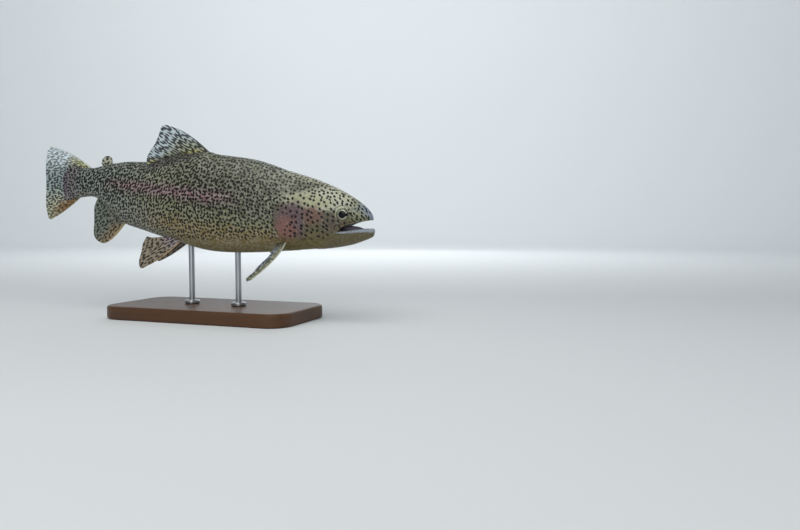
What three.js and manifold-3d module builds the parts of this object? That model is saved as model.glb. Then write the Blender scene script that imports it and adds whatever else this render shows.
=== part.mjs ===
// A life-size museum model of a swimming rainbow trout, held over a flat base by two short rods.
// Millimetres, +Z up. The fish looks along +X, and its right side faces -Y.
// The origin is the middle of the underside of the base.
//
// The fish is first made straight. There a point is (-station, side, height): station is the distance
// behind the snout, side is towards the fish's left, and height is above the body's axis.
// posed() then bends the fish sideways, tips its nose down and lifts it to its place over the base.

import * as THREE from "three";
import { mergeVertices } from "three/addons/utils/BufferGeometryUtils.js";
import Module from "manifold-3d";

const wasm = await Module();
wasm.setup();

// ---- Driving dimensions ----

const FORK_LENGTH = 488; // snout to the middle of the tail fin's edge
const FLESH_END = 445; // where the flesh of the tail stalk ends
const GAP = 0.3; // clearance between neighbouring pieces
const HEAD_END = 99; // cut between head and trunk, under the gill covers
const TRUNK_END = 338; // cut between trunk and tail stalk, behind the vent

const MIDDLE_STATION = 205; // this station stands over the middle of the base
const AXIS_HEIGHT = 138; // height of the body's axis there
const NOSE_DOWN = THREE.MathUtils.degToRad(6.5);
// Sideways swing of the body's axis, as [factor of u, of u squared, of u cubed], u = station / FORK_LENGTH.
const SWING = [-84.5, 178.3, -95.0];

const BASE = { length: 250, width: 120, height: 16, corner: 22, chamfer: 2.5 };
const ROD = { radius: 3.5, flange: 9, flangeHeight: 4, reach: 34 }; // reach: rod to the middle of the base

const RING_SIDES = 24; // sides of a body ring
const RING_COUNT = 36; // rings from snout to tail

// Outline of the body, as [station, height or half width].
const BACK = [
  [-1.6, -2], [-0.6, 5.4], [1, 9.8], [4.6, 14.6], [11, 19.9], [23.7, 27.2], [42.6, 35.3], [68, 42.9],
  [107, 50.5], [148, 58.8], [205, 61.2], [216, 63], [233, 60.8], [257, 56.7], [272, 53.3], [286, 49.6],
  [300, 45.5], [311.5, 43.1], [344, 40.5], [378, 33.5], [396, 28.5], [411.7, 27.4], [FLESH_END, 26.2],
];
const BELLY = [
  [-1.6, -4], [-1, -11.4], [1.2, -15], [6.7, -18.8], [23.6, -27.3], [47, -33.8], [71, -37.6],
  [109, -45.3], [163, -53.5], [206, -56.3], [252, -51.4], [318, -42.6], [340, -38.8], [354, -32],
  [371, -21], [388, -12], [401, -10.4], [424.6, -15], [FLESH_END, -20.5],
];
const HALF_WIDTH = [
  [-1.6, 0], [-0.6, 4.6], [1, 7.2], [4.6, 10], [11, 12.6], [23.7, 16.6], [42.6, 20.9], [68, 24.8],
  [100, 27.2], [150, 29.4], [195, 30.4], [240, 28.8], [290, 24], [340, 18], [385, 12.4], [420, 8],
  [440, 4.4], [FLESH_END, 2.2],
];
// Height at which a section is widest.
const WIDEST = [
  [-1.6, -3], [4, -3], [30, -2], [70, -5], [110, -1], [190, 3], [300, 4], [370, 7], [410, 8], [FLESH_END, 3],
];
// Squareness of the upper half of a section: 2 is an ellipse.
const SQUARENESS = [[-1.6, 2.2], [40, 2.5], [80, 2.25], [150, 2.0], [300, 2.0], [FLESH_END, 2.1]];

const EYE = { station: 30.6, height: 7.4, radius: 7, thickness: 4.4, sunk: 2.3 };
const GILL_COVER = {
  station: 85.5,
  height: -9,
  long: 20,
  tall: 26,
  lean: THREE.MathUtils.degToRad(-25), // its upper end leans to the rear
  rise: 1.2,
  depth: 3,
};
const CHIN = { reach: 2.4, below: -3, over: 5, fade: 34 }; // the lower jaw juts past the snout
const UPPER_LIP_BLADE = {
  from: [6, 2.4],
  to: [34, -9.4],
  frontRadius: 1.9,
  rearRadius: 3.3,
  rise: 0.8,
  depth: 2,
};

// Edges of the open mouth seen from the side, front to corner, as [station, height].
const GAPE_TOP = [[-8, 5.5], [0, 4.6], [9, 2.2], [18, -0.6], [27, -5], [35, -11.2]];
const GAPE_BOTTOM = [[-8, -5.6], [0, -5.9], [9, -6.8], [18, -8.8], [27, -11.4], [35, -13.2]];
const JAW_REAR = [[35, -13.2], [46, -17.5], [56, -25], [63, -36], [66, -46]];
const LIP = 4; // width of the jaw's rim round the mouth's inside
const MOUTH_FLOOR = -14.5;
const MOUTH_ROOF = -1;
const TONGUE = { station: 20.5, height: -9.2, long: 15, wide: 5.8, thick: 5 };

const FIN_EDGE = 0.8; // thickness of a fin at its outer edge
const FIN_ROOT = 2.0; // thickness of a fin at its root

// ---- Small tools ----

// A smooth function through [place, value] pairs.
function profile(pairs) {
  const slope = (i) => {
    const a = pairs[Math.max(i - 1, 0)];
    const b = pairs[Math.min(i + 1, pairs.length - 1)];
    return (b[1] - a[1]) / (b[0] - a[0]);
  };
  return (at) => {
    const last = pairs.length - 2;
    let i = 0;
    while (i < last && at > pairs[i + 1][0]) i++;
    const span = pairs[i + 1][0] - pairs[i][0];
    const x = THREE.MathUtils.clamp((at - pairs[i][0]) / span, 0, 1);
    const rise = pairs[i + 1][1] - pairs[i][1];
    const a = slope(i) * span - rise;
    const b = rise - slope(i + 1) * span;
    return pairs[i][1] + rise * x + x * (1 - x) * (a * (1 - x) + b * x);
  };
}

// A smooth path through points, as a function from 0..1.
function pathThrough(points) {
  const curve = new THREE.CatmullRomCurve3(points.map((p) => new THREE.Vector3(...p)));
  return (u) => curve.getPoint(THREE.MathUtils.clamp(u, 0, 1));
}

// Moves every vertex of a three.js geometry to where place() says.
function moulded(geometry, place) {
  const at = geometry.getAttribute("position");
  const uv = geometry.getAttribute("uv");
  for (let i = 0; i < at.count; i++) {
    const p = place(new THREE.Vector3().fromBufferAttribute(at, i), uv.getX(i), uv.getY(i));
    at.setXYZ(i, p.x, p.y, p.z);
  }
  return geometry;
}

function solidOf(geometry) {
  const bare = geometry.clone().deleteAttribute("normal").deleteAttribute("uv");
  const merged = mergeVertices(bare, 1e-4);
  return new wasm.Manifold(
    new wasm.Mesh({
      numProp: 3,
      vertProperties: merged.getAttribute("position").array,
      triVerts: new Uint32Array(merged.index.array),
    }),
  );
}

function geometryOf(solid) {
  const mesh = solid.getMesh();
  const geometry = new THREE.BufferGeometry();
  geometry.setAttribute("position", new THREE.BufferAttribute(new Float32Array(mesh.vertProperties), 3));
  geometry.setIndex(new THREE.BufferAttribute(new Uint32Array(mesh.triVerts), 1));
  return geometry;
}

// A block across the straight fish, between two stations and two heights.
function block(fromStation, toStation, low = -150, high = 150, sideMiddle = 0, sideWidth = 200) {
  const box = new THREE.BoxGeometry(toStation - fromStation, sideWidth, high - low);
  box.translate(-(fromStation + toStation) / 2, sideMiddle, (low + high) / 2);
  return solidOf(box);
}

// A side view outline, given as [station, height] points, pushed across the fish.
function sidePrism(outline, fromSide = -100, toSide = 100) {
  const shape = new THREE.Shape(outline.map(([s, z]) => new THREE.Vector2(-s, z)));
  const prism = new THREE.ExtrudeGeometry(shape, { depth: toSide - fromSide, bevelEnabled: false });
  prism.rotateX(Math.PI / 2);
  prism.translate(0, toSide, 0);
  return solidOf(prism);
}

// ---- The straight body ----

const back = profile(BACK);
const belly = profile(BELLY);
const halfWidth = profile(HALF_WIDTH);
const widest = profile(WIDEST);
const squareness = profile(SQUARENESS);

// A point on the body's surface, or swell outside it. turn runs 0..1 from the back ridge by the left side.
function bodyPoint(station, turn, swell = 0) {
  const angle = turn * 2 * Math.PI;
  const across = Math.sin(angle);
  const up = Math.cos(angle);
  const power = 2 / (up > 0 ? squareness(station) : 2);
  const middle = widest(station);
  const reach = (up > 0 ? back(station) - middle : middle - belly(station)) + swell;
  const height = middle + Math.sign(up) * Math.abs(up) ** power * Math.max(reach, 0.05);
  const low = THREE.MathUtils.smoothstep(CHIN.below - height, 0, CHIN.over);
  const front = 1 - THREE.MathUtils.smoothstep(station, 0, CHIN.fade);
  return new THREE.Vector3(
    -station + CHIN.reach * low * front,
    Math.sign(across) * Math.abs(across) ** power * Math.max(halfWidth(station) + swell, 0.05),
    height,
  );
}

// The whole body as one solid, swell outside its true surface. Its rings crowd towards both ends.
function body(swell = 0) {
  const first = BACK[0][0];
  const blank = new THREE.SphereGeometry(1, RING_SIDES, RING_COUNT);
  return solidOf(
    moulded(blank, (_, u, v) => {
      const along = 1 - v;
      const share = along * along * (2.2 - 0.75 * along - 0.45 * along * along);
      const station = first + (FLESH_END - first) * share;
      if (along < 1e-6) return new THREE.Vector3(-first + swell, 0, widest(first));
      if (along > 1 - 1e-6) return new THREE.Vector3(-FLESH_END - 1 - swell, 0, widest(FLESH_END));
      return bodyPoint(station, -u, swell);
    }),
  );
}

// Half width of the body at a station and height.
function sideOf(station, height) {
  const middle = widest(station);
  const upper = height > middle;
  const power = upper ? squareness(station) : 2;
  const reach = upper ? back(station) - middle : middle - belly(station);
  const share = Math.min(Math.abs(height - middle) / reach, 1);
  return halfWidth(station) * (1 - share ** power) ** (1 / power);
}

// ---- Bending the straight fish into its pose ----

function swing(station) {
  const u = station / FORK_LENGTH;
  return u * (SWING[0] + u * (SWING[1] + u * SWING[2]));
}

function posed(point) {
  const station = -point.x;
  const step = 0.5;
  const turn = Math.atan((swing(station + step) - swing(station - step)) / (2 * step));
  const x = MIDDLE_STATION - station + point.y * Math.sin(turn);
  const y = swing(station) - swing(MIDDLE_STATION) + point.y * Math.cos(turn);
  return new THREE.Vector3(
    x * Math.cos(NOSE_DOWN) + point.z * Math.sin(NOSE_DOWN),
    y,
    AXIS_HEIGHT - x * Math.sin(NOSE_DOWN) + point.z * Math.cos(NOSE_DOWN),
  );
}

function posedGeometry(solid) {
  const geometry = geometryOf(solid);
  const at = geometry.getAttribute("position");
  for (let i = 0; i < at.count; i++) {
    const p = posed(new THREE.Vector3().fromBufferAttribute(at, i));
    at.setXYZ(i, p.x, p.y, p.z);
  }
  return geometry;
}

// ---- Outlines used for both a piece and the recess that holds it ----

function gillCoverOutline(grow) {
  const { station, height, long, tall, lean } = GILL_COVER;
  const oval = new THREE.EllipseCurve(station, height, long + grow, tall + grow, 0, 2 * Math.PI, false, lean);
  return oval.getPoints(24).slice(0, -1).map((p) => [p.x, p.y]);
}

// A blade with round ends, wider at the rear.
function lipBladeOutline(grow) {
  const { from, to, frontRadius, rearRadius } = UPPER_LIP_BLADE;
  const lean = Math.atan2(to[1] - from[1], to[0] - from[0]);
  const quarter = Math.PI / 2;
  const shape = new THREE.Path();
  shape.absarc(from[0], from[1], frontRadius + grow, lean + quarter, lean + 3 * quarter, false);
  shape.absarc(to[0], to[1], rearRadius + grow, lean - quarter, lean + quarter, false);
  return shape.getPoints(4).map((p) => [p.x, p.y]);
}

function jawOutline() {
  return [...GAPE_BOTTOM.slice(0, -1), ...JAW_REAR, [66, -60], [-8, -60]];
}

// The open mouth and the lower jaw together, with the jaw's clearance: all that is cut from the head.
function jawAndGapeOutline() {
  const rear = JAW_REAR.map(([s, z]) => [s + GAP, z + GAP]);
  return [...GAPE_TOP, ...rear, [66 + GAP, -60], [-8, -60]];
}

// ---- Pieces of the body ----

const plainBody = body();
const roomyBody = body(GAP); // what fins and rods keep clear of

// A thin plate of the body's skin inside an outline, on one side: side is 1 for left, -1 for right.
function skinPlate(outline, { rise, depth }, side) {
  const half = side > 0 ? sidePrism(outline(0), 1, 60) : sidePrism(outline(0), -60, -1);
  return half.intersect(body(rise)).subtract(body(-depth));
}

function plateRecess(outline, { depth }, side) {
  const half = side > 0 ? sidePrism(outline(GAP), 0.5, 60) : sidePrism(outline(GAP), -60, -0.5);
  return half.subtract(body(-depth - GAP));
}

// The space a gill cover takes up outside the body, with its clearance.
function gillCoverRoom(side) {
  return plateRecess(gillCoverOutline, GILL_COVER, side).intersect(body(GILL_COVER.rise + GAP));
}

function eyeBall(side, grow = 0) {
  const { station, height, radius, thickness, sunk } = EYE;
  const ball = new THREE.SphereGeometry(1, 16, 10);
  ball.scale(radius + grow, thickness + grow, radius + grow);
  ball.translate(-station, side * (sideOf(station, height) - sunk), height);
  return solidOf(ball);
}

function mouthInside() {
  const roof = block(4, 38, -8, MOUTH_ROOF);
  const floor = block(4, 38, MOUTH_FLOOR, -8);
  return roof.add(floor).intersect(body(-LIP));
}

function head() {
  let solid = plainBody.intersect(block(-10, HEAD_END - GAP / 2));
  solid = solid.subtract(sidePrism(jawAndGapeOutline()));
  solid = solid.subtract(mouthInside());
  for (const side of [-1, 1]) {
    solid = solid.subtract(eyeBall(side, GAP));
    solid = solid.subtract(plateRecess(gillCoverOutline, GILL_COVER, side));
    solid = solid.subtract(plateRecess(lipBladeOutline, UPPER_LIP_BLADE, side));
  }
  return solid;
}

function lowerJaw() {
  let solid = plainBody.intersect(sidePrism(jawOutline())).subtract(mouthInside());
  for (const side of [-1, 1]) {
    solid = solid.subtract(plateRecess(gillCoverOutline, GILL_COVER, side));
    solid = solid.subtract(plateRecess(lipBladeOutline, UPPER_LIP_BLADE, side));
  }
  return solid;
}

// A thick, round-ended tongue that fills the floor of the mouth and shows over the lower lip.
function tongue() {
  const blank = new THREE.SphereGeometry(1, 16, 8);
  blank.scale(TONGUE.long, TONGUE.wide, TONGUE.thick);
  blank.translate(-TONGUE.station, 0, TONGUE.height);
  return solidOf(blank).intersect(block(0, 60, MOUTH_FLOOR + GAP, 0)).intersect(body(-LIP - GAP));
}

function trunk() {
  let solid = plainBody.intersect(block(HEAD_END + GAP / 2, TRUNK_END - GAP / 2));
  for (const side of [-1, 1]) {
    solid = solid.subtract(plateRecess(gillCoverOutline, GILL_COVER, side));
  }
  return solid;
}

function tailStalk() {
  return plainBody.intersect(block(TRUNK_END + GAP / 2, FLESH_END + 10));
}

// ---- Fins ----

// A fin is a fan of rays from a root line to an edge line, both given as [station, side, height] points.
// frontBow and rearBow push the middles of its first and last rays. cells is [across, along] the rays.
function fin({ root, edge, frontBow, rearBow, cells }) {
  const rootAt = pathThrough(root.map(([s, y, z]) => [-s, y, z]));
  const edgeAt = pathThrough(edge.map(([s, y, z]) => [-s, y, z]));
  const front = new THREE.Vector3(-frontBow[0], frontBow[1], frontBow[2]);
  const rear = new THREE.Vector3(-rearBow[0], rearBow[1], rearBow[2]);
  const sheet = (u, v) => {
    const push = front.clone().lerp(rear, u);
    return rootAt(u).lerp(edgeAt(u), v).addScaledVector(push, 4 * v * (1 - v));
  };
  const blank = new THREE.BoxGeometry(1, 1, 1, cells[0], cells[1], 1);
  return solidOf(
    moulded(blank, (p) => {
      const u = p.x + 0.5;
      const v = p.y + 0.5;
      const step = 0.01;
      const along = sheet(u, v + step).sub(sheet(u, v - step));
      const across = sheet(u + step, v).sub(sheet(u - step, v));
      const normal = across.cross(along).normalize();
      const thickness = FIN_ROOT + (FIN_EDGE - FIN_ROOT) * Math.min(v * 1.6, 1);
      return sheet(u, v).addScaledVector(normal, p.z * thickness);
    }),
  ).subtract(roomyBody);
}

const DORSAL_FIN = {
  root: [[214.5, 0, 61], [240, 0, 57], [266, 0, 51], [288, -1, 44]],
  edge: [
    [261.5, -6, 86.8], [270, -7.5, 88.8], [279, -9, 90.2], [283, -10, 88], [285.6, -11, 80.5],
    [289.6, -12.5, 66.8], [295.4, -13.5, 56.4], [299.4, -14, 48.6], [299.8, -14, 43.7], [296.6, -13.5, 39.9],
  ],
  frontBow: [0, 0, 2.7],
  rearBow: [0, -2, 1],
  cells: [14, 6],
};
const ADIPOSE_FIN = {
  root: [[366.5, 0, 33], [374, 0, 32], [382, 0, 29]],
  edge: [[368.5, -0.5, 42.5], [373, -1, 45.1], [380.6, -1.5, 43.6], [384.3, -1.5, 39.8], [386, -1, 35]],
  frontBow: [0, 0, 0],
  rearBow: [0, 0, 0],
  cells: [7, 3],
};
const ANAL_FIN = {
  root: [[338.5, 0, -36], [352, 0, -29.5], [368, 0, -19], [386, 0, -9.5]],
  edge: [
    [367, -3, -67], [372, -3, -68.8], [379, -3.5, -67.8], [384.4, -4, -64.8], [388.4, -4, -58],
    [389.7, -4, -46.4], [390.6, -3.5, -32], [390.8, -3, -21.6], [390.2, -2, -15],
  ],
  frontBow: [0, 0, -3.5],
  rearBow: [0, -1, 0],
  cells: [12, 5],
};
const TAIL_FIN = {
  root: [
    [401, 0, 26.3], [421, 0, 23.5], [438, 0, 16], [442, 0, 3], [438, 0, -9], [428, 0, -13], [415, 0, -9.5],
  ],
  edge: [
    [481.5, 5, 49.6], [485.8, 5, 46], [486.3, 4.5, 35], [485, 3, 20], [482.9, 2, 3.5], [482, 2.5, -11.5],
    [481.7, 3.5, -26.6], [480.8, 4.5, -39], [477.8, 5, -47.6], [473.4, 5, -48.8],
  ],
  frontBow: [0, 0, 4.9],
  rearBow: [0, 0, -2.4],
  cells: [18, 7],
};
const PELVIC_ROOT = [[241, 9, -48.5], [250, 10.5, -46.5], [260, 11.5, -44.5]];
const PELVIC_FIN_SPREAD = {
  root: PELVIC_ROOT,
  edge: [
    [279, 26, -85], [284.5, 27, -88], [288.5, 26.5, -86], [290.5, 24.5, -77.5], [292, 21, -68],
    [292.5, 17.5, -58], [291.5, 14, -49],
  ],
  frontBow: [-2.5, 2, -2.5],
  rearBow: [0, 2, -2],
  cells: [10, 5],
};
const PELVIC_FIN_FOLDED = {
  root: PELVIC_ROOT,
  edge: [
    [298, 22.5, -82.5], [303, 23, -84], [307, 22, -82], [309.5, 20, -76.5], [309, 17.5, -69],
    [306, 15, -60.5], [301, 13, -52],
  ],
  frontBow: [0, 1, -1.5],
  rearBow: [0, 2, -2],
  cells: [10, 5],
};
const PECTORAL_ROOT = [[93, 17.5, -31], [99, 18, -34], [105.5, 17, -36.5]];
const PECTORAL_FIN_DOWN = {
  root: PECTORAL_ROOT,
  edge: [
    [113.5, 53.5, -75.5], [117.8, 53.5, -77.8], [121.5, 50, -76.6], [120.5, 43.5, -71.5], [117.7, 36.5, -65],
    [114.5, 29, -56],
  ],
  frontBow: [-8, 2, 3.5],
  rearBow: [-1.5, 1, -1.5],
  cells: [10, 5],
};
const PECTORAL_FIN_OUT = {
  root: PECTORAL_ROOT,
  edge: [[139, 54, -50], [143, 52, -52], [145, 46, -53], [144, 40, -53], [140, 34, -52], [134, 29, -50]],
  frontBow: [-2, 5, 1],
  rearBow: [2, 4, 1],
  cells: [10, 5],
};

function mirrored(plan) {
  const flip = ([s, y, z]) => [s, -y, z];
  return {
    root: plan.root.map(flip),
    edge: plan.edge.map(flip),
    frontBow: flip(plan.frontBow),
    rearBow: flip(plan.rearBow),
    cells: plan.cells,
  };
}

// ---- The stand ----

function baseGeometry() {
  const { length, width, height, corner, chamfer } = BASE;
  const x = length / 2 - chamfer;
  const y = width / 2 - chamfer;
  const shape = new THREE.Shape();
  shape.moveTo(x - corner, -y);
  shape.absarc(x - corner, corner - y, corner, -Math.PI / 2, 0, false);
  shape.absarc(x - corner, y - corner, corner, 0, Math.PI / 2, false);
  shape.absarc(corner - x, y - corner, corner, Math.PI / 2, Math.PI, false);
  shape.absarc(corner - x, corner - y, corner, Math.PI, 1.5 * Math.PI, false);
  const geometry = new THREE.ExtrudeGeometry(shape, {
    depth: height - 2 * chamfer,
    bevelThickness: chamfer,
    bevelSize: chamfer,
    bevelSegments: 2,
    curveSegments: 6,
  });
  return geometry.translate(0, 0, chamfer);
}

// A rod with a round flange that stands on the base. It ends where it meets the belly.
function rod(x, fish) {
  const { radius, flange, flangeHeight } = ROD;
  const foot = BASE.height + GAP;
  const outline = [
    [0, 0], [flange - 0.8, 0], [flange, 0.8], [flange, flangeHeight - 1], [flange - 1, flangeHeight],
    [radius + 1, flangeHeight],
    [radius, flangeHeight + 1],
    [radius, AXIS_HEIGHT - foot],
    [0, AXIS_HEIGHT - foot],
  ].map(([r, z]) => new THREE.Vector2(r, z));
  const lathe = new THREE.LatheGeometry(outline, 20).rotateX(Math.PI / 2);
  const y = posed(new THREE.Vector3(x - MIDDLE_STATION, 0, 0)).y;
  return solidOf(lathe.translate(x, y, foot)).subtract(fish);
}

// ---- Materials ----

const paint = (color, roughness, metalness = 0) =>
  new THREE.MeshStandardMaterial({ color, roughness, metalness });

const flesh = paint(0x7f8062, 0.4);
const cheek = paint(0x94705e, 0.38);
const finSkin = paint(0x9a9780, 0.45);
const eyeGloss = paint(0x2a2c30, 0.1);
const mouthLining = paint(0xb9a79a, 0.4);
const wood = paint(0x4a2f1d, 0.5);
const steel = paint(0xb4b6b8, 0.3, 1);

// ---- Assembly ----

const trout = new THREE.Group();

function add(name, geometry, material) {
  const mesh = new THREE.Mesh(geometry, material);
  mesh.name = name;
  geometry.computeVertexNormals();
  trout.add(mesh);
}

add("head", posedGeometry(head()), flesh);
add("lower_jaw", posedGeometry(lowerJaw()), flesh);
add("tongue", posedGeometry(tongue()), mouthLining);
add("trunk", posedGeometry(trunk()), flesh);
add("tail_stalk", posedGeometry(tailStalk()), flesh);
for (const [name, side] of [["right", -1], ["left", 1]]) {
  add(`eye_${name}`, posedGeometry(eyeBall(side)), eyeGloss);
  add(`gill_cover_${name}`, posedGeometry(skinPlate(gillCoverOutline, GILL_COVER, side)), cheek);
  add(`upper_lip_blade_${name}`, posedGeometry(skinPlate(lipBladeOutline, UPPER_LIP_BLADE, side)), flesh);
}
add("dorsal_fin", posedGeometry(fin(DORSAL_FIN)), finSkin);
add("adipose_fin", posedGeometry(fin(ADIPOSE_FIN)), finSkin);
add("anal_fin", posedGeometry(fin(ANAL_FIN)), finSkin);
add("tail_fin", posedGeometry(fin(TAIL_FIN)), finSkin);
add("pelvic_fin_right", posedGeometry(fin(mirrored(PELVIC_FIN_SPREAD))), finSkin);
add("pelvic_fin_left", posedGeometry(fin(PELVIC_FIN_FOLDED)), finSkin);
const rightPectoral = fin(mirrored(PECTORAL_FIN_DOWN)).subtract(gillCoverRoom(-1));
const leftPectoral = fin(PECTORAL_FIN_OUT).subtract(gillCoverRoom(1));
add("pectoral_fin_right", posedGeometry(rightPectoral), finSkin);
add("pectoral_fin_left", posedGeometry(leftPectoral), finSkin);

const fishOnRods = solidOf(posedGeometry(roomyBody));
add("stand_base", baseGeometry(), wood);
add("stand_rod_front", geometryOf(rod(ROD.reach, fishOnRods)), steel);
add("stand_rod_rear", geometryOf(rod(-ROD.reach, fishOnRods)), steel);

export default trout;
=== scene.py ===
"""Rainbow trout, life size: a still museum model, painted and scaled, on a plain stand.

Every shape is worked out on a straight fish, in millimetres, as (station, side, height): the station
runs from the nose to the tail, side is to the fish's left, height is above its axis. posed() bends the
straight fish, tips its nose down and lifts it to its place over the stand, in metres.
"""

import math

import bmesh
import bpy
import numpy as np
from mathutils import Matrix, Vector


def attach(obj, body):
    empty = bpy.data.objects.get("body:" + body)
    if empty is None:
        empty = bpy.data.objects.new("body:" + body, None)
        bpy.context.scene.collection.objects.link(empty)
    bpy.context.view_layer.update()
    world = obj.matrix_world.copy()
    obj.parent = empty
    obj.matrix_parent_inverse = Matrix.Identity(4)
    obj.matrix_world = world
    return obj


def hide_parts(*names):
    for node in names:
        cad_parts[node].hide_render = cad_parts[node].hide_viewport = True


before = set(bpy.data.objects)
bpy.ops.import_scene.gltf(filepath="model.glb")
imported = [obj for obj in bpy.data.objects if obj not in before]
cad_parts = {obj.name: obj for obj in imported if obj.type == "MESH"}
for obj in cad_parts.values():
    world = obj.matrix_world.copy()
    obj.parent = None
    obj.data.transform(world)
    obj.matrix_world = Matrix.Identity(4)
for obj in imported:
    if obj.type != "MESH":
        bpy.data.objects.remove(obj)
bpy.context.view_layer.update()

# ---- Sizes of the straight fish ----

MM = 0.001
FORK_LENGTH = 488.0
FLESH_END = 445.0
MIDDLE_STATION = 205.0
AXIS_HEIGHT = 138.0
NOSE_DOWN = math.radians(6.5)
SWING = (-84.5, 178.3, -95.0)

BACK = (
    (-1.6, -2), (-0.6, 5.4), (1, 9.8), (4.6, 14.6), (11, 19.9), (23.7, 27.2), (42.6, 35.3), (68, 42.9),
    (107, 50.5), (148, 58.8), (205, 61.2), (216, 63), (233, 60.8), (257, 56.7), (272, 53.3), (286, 49.6),
    (300, 45.5), (311.5, 43.1), (344, 40.5), (378, 33.5), (396, 28.5), (411.7, 27.4), (FLESH_END, 26.2),
)
BELLY = (
    (-1.6, -4), (-1, -11.4), (1.2, -15), (6.7, -18.8), (23.6, -27.3), (47, -33.8), (71, -37.6),
    (109, -45.3), (163, -53.5), (206, -56.3), (252, -51.4), (318, -42.6), (340, -38.8), (354, -32),
    (371, -21), (388, -12), (401, -10.4), (424.6, -15), (FLESH_END, -20.5),
)
HALF_WIDTH = (
    (-1.6, 0), (-0.6, 4.6), (1, 7.2), (4.6, 10), (11, 12.6), (23.7, 16.6), (42.6, 20.9), (68, 24.8),
    (100, 27.2), (150, 29.4), (195, 30.4), (240, 28.8), (290, 24), (340, 18), (385, 12.4), (420, 7.6),
    (438, 3.2), (FLESH_END, 0.9),
)
WIDEST = (
    (-1.6, -3), (4, -3), (30, -2), (70, -5), (110, -1), (190, 3), (300, 4), (370, 7), (410, 8), (FLESH_END, 3),
)
SQUARENESS = ((-1.6, 2.2), (40, 2.5), (80, 2.25), (150, 2.0), (300, 2.0), (FLESH_END, 2.1))

EYE = {"station": 30.6, "height": 7.4, "radius": 7.0, "thickness": 4.4, "sunk": 2.3}
GILL_COVER = {"station": 85.5, "height": -9.0, "long": 20.0, "tall": 26.0, "lean": math.radians(-25), "rise": 1.2}
CHIN = {"reach": 2.4, "below": -3.0, "over": 5.0, "fade": 34.0}
LIP_BLADE = {"from": (6.0, 2.4), "to": (34.0, -9.4), "front_radius": 1.9, "rear_radius": 3.3, "rise": 0.8}
GAPE_TOP = ((-8, 5.5), (0, 4.6), (9, 2.2), (18, -0.6), (27, -5), (35, -11.2))
GAPE_BOTTOM = ((-8, -5.6), (0, -5.9), (9, -6.8), (18, -8.8), (27, -11.4), (35, -13.2))
JAW_REAR = ((35, -13.2), (46, -17.5), (56, -25), (63, -36), (66, -46))
CHEEK_EDGE = ((71, 6), (71, -2), (71.8, -10), (71, -18), (66, -25.5), (57, -30.5), (48, -33))
MOUTH_CORNER = (36.5, -12.5)
MOUTH_ROOF = -0.8
MOUTH_FLOOR = -14.2
THROAT = (50.0, -8.0)
TONGUE = {"station": 20.5, "height": -9.2, "long": 14.7, "wide": 5.5, "thick": 4.75}
JAW_FOLD = ((37, -15), (30, -17.5), (20, -17), (10, -14.5))
EYE_RIDGE = ((22, 2), (27, -2.5), (35, -3.5), (43, -1.5), (47, 4))
NOSTRILS = ((17.2, 15.5, 0.9), (19.6, 14.8, 1.2))  # station, height and radius of each
LATERAL_LINE = ((100, 16.5), (113, 15.6), (176, 13.5), (282, 12.7), (337, 13.4), (440, 6))
RIGHT, LEFT = -1, 1  # the sign of a side

HEAD_INSET = 0.2  # how far the bare skin of the head lies inside the solids
COAT_DEPTH = 0.55  # how far the skin lies inside them where scales cover it

# ---- Small tools ----


def smooth(x, low, high):
    """0 below low, 1 above high, with a soft start and end."""
    t = np.clip((np.asarray(x, float) - low) / (high - low), 0, 1)
    return t * t * (3 - 2 * t)


def hump(x, middle, width):
    """1 at middle, and softly down to 0 on both sides of it."""
    return np.exp(-(((x - middle) / width) ** 2))


def profile(pairs):
    """A smooth function through (place, value) pairs."""
    places = np.array([p[0] for p in pairs], float)
    values = np.array([p[1] for p in pairs], float)
    before = np.maximum(np.arange(len(pairs)) - 1, 0)
    after = np.minimum(np.arange(len(pairs)) + 1, len(pairs) - 1)
    slopes = (values[after] - values[before]) / (places[after] - places[before])

    def value(at):
        at = np.asarray(at, float)
        i = np.clip(np.searchsorted(places, at) - 1, 0, len(pairs) - 2)
        span = places[i + 1] - places[i]
        x = np.clip((at - places[i]) / span, 0, 1)
        rise = values[i + 1] - values[i]
        a = slopes[i] * span - rise
        b = rise - slopes[i + 1] * span
        return values[i] + rise * x + x * (1 - x) * (a * (1 - x) + b * x)

    return value


def path_through(points):
    """A smooth path through points, as a function from 0..1."""
    p = np.array(points, float)
    p = np.vstack([2 * p[0] - p[1], p, 2 * p[-1] - p[-2]])

    def at(u):
        along = np.clip(np.asarray(u, float), 0, 1) * (len(p) - 3)
        i = np.minimum(along.astype(int), len(p) - 4)
        x = (along - i)[..., None]
        p0, p1, p2, p3 = (p[i + k] for k in range(4))
        d0, d1, d2 = (
            np.maximum(np.sqrt(np.linalg.norm(b - a, axis=-1)), 1e-6)[..., None]
            for a, b in ((p0, p1), (p1, p2), (p2, p3))
        )
        t1 = d1 * ((p1 - p0) / d0 - (p2 - p0) / (d0 + d1) + (p2 - p1) / d1)
        t2 = d1 * ((p2 - p1) / d1 - (p3 - p1) / (d1 + d2) + (p3 - p2) / d2)
        curve = -3 * p1 + 3 * p2 - 2 * t1 - t2
        return p1 + t1 * x + curve * x**2 + (2 * p1 - 2 * p2 + t1 + t2) * x**3

    return at


def distance_to_line(s, h, line):
    """Distance in the side view from each (s, h) to a line through (station, height) points, and how far along."""
    best = np.full(np.shape(s), 1e9)
    along = np.zeros(np.shape(s))
    for i, ((s0, h0), (s1, h1)) in enumerate(zip(line[:-1], line[1:])):
        length = (s1 - s0) ** 2 + (h1 - h0) ** 2
        t = np.clip(((s - s0) * (s1 - s0) + (h - h0) * (h1 - h0)) / length, 0, 1)
        d = np.hypot(s - s0 - t * (s1 - s0), h - h0 - t * (h1 - h0))
        along = np.where(d < best, (i + t) / (len(line) - 1), along)
        best = np.minimum(best, d)
    return best, along


# ---- The straight body ----

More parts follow.
